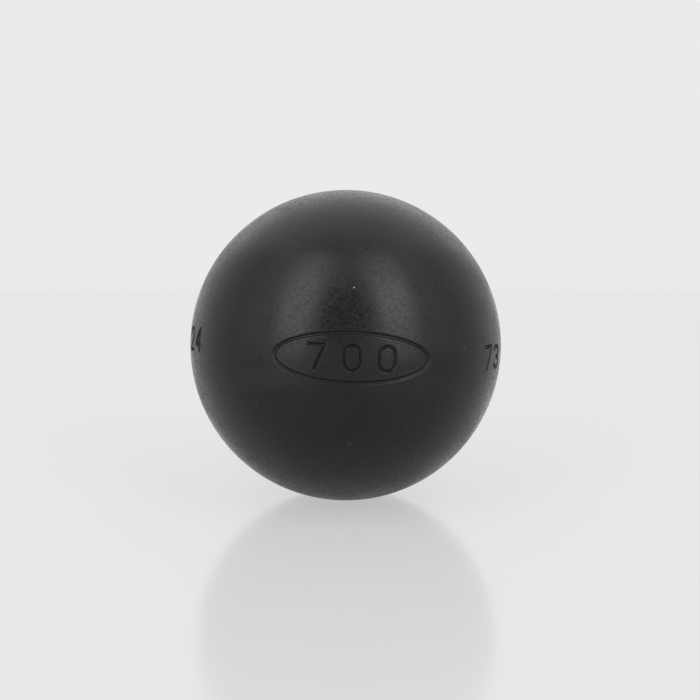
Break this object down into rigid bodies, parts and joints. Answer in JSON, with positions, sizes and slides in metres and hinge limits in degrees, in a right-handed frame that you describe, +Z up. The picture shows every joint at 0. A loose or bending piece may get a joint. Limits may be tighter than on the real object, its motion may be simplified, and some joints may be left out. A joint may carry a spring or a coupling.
{
  "type": "petanque boule",
  "caption": "Hollow steel ball of welded half-shells with a satin black coat and a stamped oval, thrown or rolled towards a small target ball in petanque.",
  "frame": {"origin": "centre of the ball", "axes": "+Z up as the ball is pictured, +Y along the half-shells' common axis, from the stamped front half to the plain rear half, +X to the right seen from the front"},
  "size_m": [0.073, 0.073, 0.073],
  "materials": {
    "black_coat": "satin",
    "coated_weld": "satin"
  },
  "bodies": {
    "root": {"front_half_shell": "black_coat", "rear_half_shell": "black_coat", "weld_seam": "coated_weld"}
  },
  "joints": []
}
